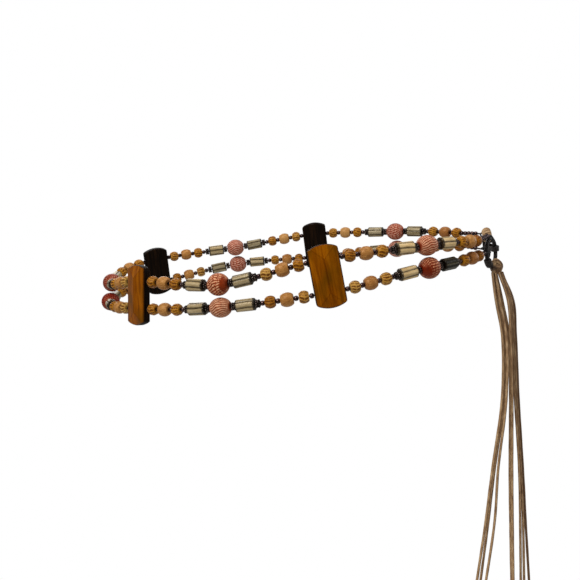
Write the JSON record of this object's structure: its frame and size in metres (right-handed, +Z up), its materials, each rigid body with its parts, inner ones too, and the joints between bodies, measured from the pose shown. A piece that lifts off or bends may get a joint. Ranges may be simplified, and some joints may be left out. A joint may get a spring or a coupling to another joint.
{
  "type": "beaded belt",
  "caption": "Worn two-strand hip belt of wood, bone and horn beads with spacer bars, a ring at each end and a leather tie with hanging ends.",
  "frame": {"origin": "the middle of the hips that the belt is worn on, at the belt's height", "axes": "+Z up, +X to the right as seen from the front, -Y to the front"},
  "size_m": [0.4045, 0.2224, 0.35],
  "materials": {
    "bead_wood": "oiled light brown wood, grooved and plain barrels on a dark thread",
    "turned_bead": "red-brown stained wood with pale carved wavy lines",
    "bone": "polished cream bone with burnt dark lines and rims",
    "bar_horn": "polished amber-brown horn with streaks and black edges",
    "ring_iron": "dark browned iron, satin",
    "tie_leather": "tan leather lacing"
  },
  "bodies": {
    "root": {"upper_strand": "bead_wood", "upper_bone_tube_1": "bone", "upper_bone_tube_2": "bone", "upper_bone_tube_3": "bone", "upper_bone_tube_4": "bone", "upper_bone_tube_5": "bone", "upper_bone_tube_6": "bone", "upper_bone_tube_7": "bone", "upper_bone_tube_8": "bone", "upper_bone_tube_9": "bone", "upper_bone_tube_10": "bone", "upper_turned_bead_1": "turned_bead", "upper_turned_bead_2": "turned_bead", "upper_turned_bead_3": "turned_bead", "upper_turned_bead_4": "turned_bead", "upper_turned_bead_5": "turned_bead", "lower_strand": "bead_wood", "lower_bone_tube_1": "bone", "lower_bone_tube_2": "bone", "lower_bone_tube_3": "bone", "lower_bone_tube_4": "bone", "lower_bone_tube_5": "bone", "lower_bone_tube_6": "bone", "lower_bone_tube_7": "bone", "lower_bone_tube_8": "bone", "lower_bone_tube_9": "bone", "lower_bone_tube_10": "bone", "lower_turned_bead_1": "turned_bead", "lower_turned_bead_2": "turned_bead", "lower_turned_bead_3": "turned_bead", "lower_turned_bead_4": "turned_bead", "lower_turned_bead_5": "turned_bead", "bar_1": "bar_horn", "bar_2": "bar_horn", "bar_3": "bar_horn", "bar_4": "bar_horn", "first_ring": "ring_iron", "second_ring": "ring_iron", "tie_lashing": "tie_leather", "tie_knot": "tie_leather", "tie_cord_1": "tie_leather", "tie_cord_2": "tie_leather", "tie_cord_3": "tie_leather", "tie_cord_4": "tie_leather", "tie_cord_5": "tie_leather", "tie_cord_6": "tie_leather", "tie_cord_7": "tie_leather", "tie_cord_8": "tie_leather"}
  },
  "joints": []
}
